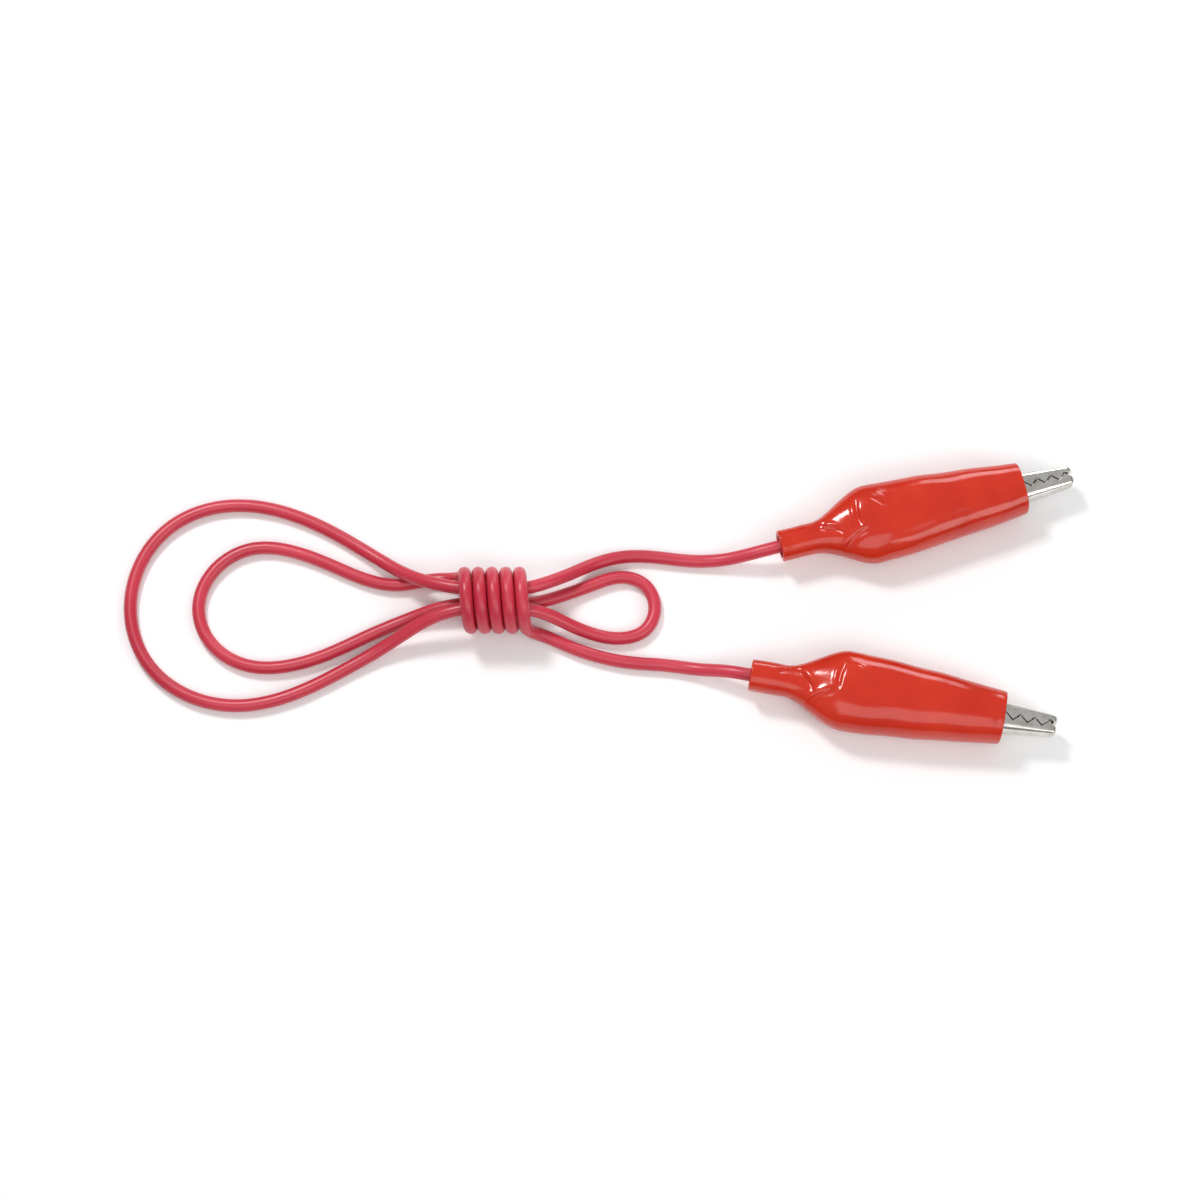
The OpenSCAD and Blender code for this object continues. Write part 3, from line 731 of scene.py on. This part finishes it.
def crimp_ring():
    """The two crimped tabs as one open ring: a bar, 1.8 long and CRIMP_WALL thick, with its outer edges
    taken off, carried 344 degrees round the wire."""
    a = np.radians(np.linspace(98, 442, 40))[:, None]
    inner = WIRE_R + SNUG
    outer = inner + CRIMP_WALL
    u = np.array([1, 1, 1.12, 1.9, 2.68, 2.8, 2.8, 2.68, 1.9, 1.12])
    r = np.array([inner, outer - 0.1, outer, outer, outer, outer - 0.1, inner, inner, inner, inner])
    points = on_crimp(u + 0 * a, r * np.sin(a), r * np.cos(a))
    faces = grid_faces(len(a), len(u))
    end = (len(a) - 1) * len(u)
    caps = [tuple(range(len(u)))[::-1], tuple(end + k for k in range(len(u)))]
    return points, [tuple(f) for f in faces] + caps


def tongue_strip():
    """The tongue that carries the solder: a flat strip 2 wide under the wire, with rounded long edges."""
    t = 2 * np.pi * np.arange(16) / 16
    u = np.linspace(1.4, 6.4, 8)[:, None]
    z = signed_power(np.cos(t), 0.25)
    v = -(WIRE_R + SNUG + SHEET / 2) + SHEET / 2 * signed_power(np.sin(t), 0.5)
    points = on_crimp(u, v, z)
    faces = grid_faces(8, 16)
    caps = [tuple(range(16))[::-1], tuple(7 * 16 + k for k in range(16))]
    return points, [tuple(f) for f in faces] + caps


def joined(shells):
    """Several closed shells as one list of points and one of faces."""
    points, faces, start = [], [], 0
    for p, f in shells:
        points.append(p)
        faces += [tuple(int(k) + start for k in face) for face in f]
        start += len(p)
    return np.concatenate(points), faces


def face_outward(piece):
    """Merges doubled points, turns the faces outward, and sharpens edges that bend by over 40 degrees."""
    mesh = piece.data
    work = bmesh.new()
    work.from_mesh(mesh)
    bmesh.ops.remove_doubles(work, verts=work.verts, dist=1e-7)
    bmesh.ops.recalc_face_normals(work, faces=work.faces)
    work.to_mesh(mesh)
    work.free()
    mesh.set_sharp_from_angle(angle=math.radians(40))


def bore(piece, clip, radius):
    """Cuts the rivet's round hole, a prism of 64 sides along z, through both ears of a jaw."""
    a = 2 * np.pi * np.arange(64) / 64
    ends = np.array([-JAW_HALF_WIDTH - 1, JAW_HALF_WIDTH + 1])[:, None]
    points = np.stack(np.broadcast_arrays(radius * np.cos(a), radius * np.sin(a), ends), -1).reshape(-1, 3)
    faces = [tuple(f) for f in grid_faces(2, 64)] + [tuple(range(64))[::-1], tuple(range(64, 128))]
    drill = make_piece("drill", clip.place(points), faces, piece.data.materials[0], smooth=False)
    cut = piece.modifiers.new("bore", "BOOLEAN")
    cut.object = drill
    cut.solver = "EXACT"
    bored = bpy.data.meshes.new_from_object(piece.evaluated_get(bpy.context.evaluated_depsgraph_get()))
    piece.modifiers.clear()
    piece.data = bored
    bpy.data.objects.remove(drill)
    face_outward(piece)


def make_jaws(clip, material):
    """The fixed jaw with its tongue and crimp, and the moving jaw, which is narrower and turned over."""
    fixed = joined([jaw_shell(JAW_HALF_WIDTH, 1), tongue_strip(), crimp_ring()])
    moving_half = JAW_HALF_WIDTH - SHEET - RUNNING_GAP
    points, faces = jaw_shell(moving_half, -1)
    shapes = {"fixed_jaw": (fixed, "lead"), "moving_jaw": ((points * [1, -1, 1], faces), clip.body)}
    for part, ((points, faces), body) in shapes.items():
        jaw = make_piece(f"{part}_{clip.letter}", clip.place(points), faces, material)
        face_outward(jaw)
        bore(jaw, clip, RIVET_R + RUNNING_GAP)
        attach(jaw, body)
        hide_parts(f"clip_{clip.letter}_{part}")


def make_spring(clip, material):
    """The torsion spring: a helix of 3.5 turns round the rivet, (r·sin a, -r·cos a, pitch·turn), whose ends
    run straight back along the handles."""
    off_plate = SHEET + SPRING_WIRE_R + 0.05
    leg_y = JAW_DEPTH + (SPRING_LEG - FLARE_X) * HANDLE_SLOPE - off_plate
    half = SPRING_TURNS * SPRING_PITCH / 2
    turn = np.linspace(0, SPRING_TURNS, 90)
    a = 2 * np.pi * turn
    coil = np.stack([SPRING_R * np.sin(a), -SPRING_R * np.cos(a), -half + SPRING_PITCH * turn], 1)
    leg = np.linspace(0, 1, 14)[:-1, None]
    first = mix(np.array([-SPRING_LEG, -leg_y, -half]), coil[0], leg)
    last = mix(np.array([-SPRING_LEG, leg_y, half]), coil[-1], leg)[::-1]
    path = np.concatenate([first, coil, last])
    sides = 14
    side, up = carried_frames(path)
    b = 2 * np.pi * np.arange(sides) / sides
    rings = path[:, None] + SPRING_WIRE_R * (np.cos(b)[None, :, None] * side[:, None]
                                             + np.sin(b)[None, :, None] * up[:, None])
    caps = [tuple(range(sides))[::-1], tuple((len(path) - 1) * sides + k for k in range(sides))]
    faces = [tuple(f) for f in grid_faces(len(path), sides)] + caps
    spring = make_piece(f"spring_{clip.letter}", clip.place(rings.reshape(-1, 3)), faces, material)
    face_outward(spring)
    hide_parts(f"clip_{clip.letter}_spring")
    clip.place((0, -1.2, 0))[0]
    clip.place((0, 1.2, 0))[0]
    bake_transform(spring)


# ---- The whole lead ----

make_camera()
make_stage()
make_wire(extruded_vinyl())

vinyl = dipped_vinyl()
nickel = nickel_plate()
spring_steel = metal("drawn spring steel", "#8C8D90", "#66676B", 0.6, 0.32)
copper = metal("bare annealed copper", "#C9774A", "#A85A34", 0.4, 0.3)
tin = metal("dull solder", "#B4B5B8", "#8F9094", 0.5, 0.42)

for seed, clip in enumerate(CLIPS):
    make_boot(clip, vinyl, 11 + seed)
    make_jaws(clip, nickel)
    make_spring(clip, spring_steel)
    for part, finish in {"rivet": nickel, "strands": copper, "solder": tin}.items():
        mesh = frame["nodes"][f"clip_{clip.letter}_{part}"].data
        mesh.materials.clear()
        mesh.materials.append(finish)
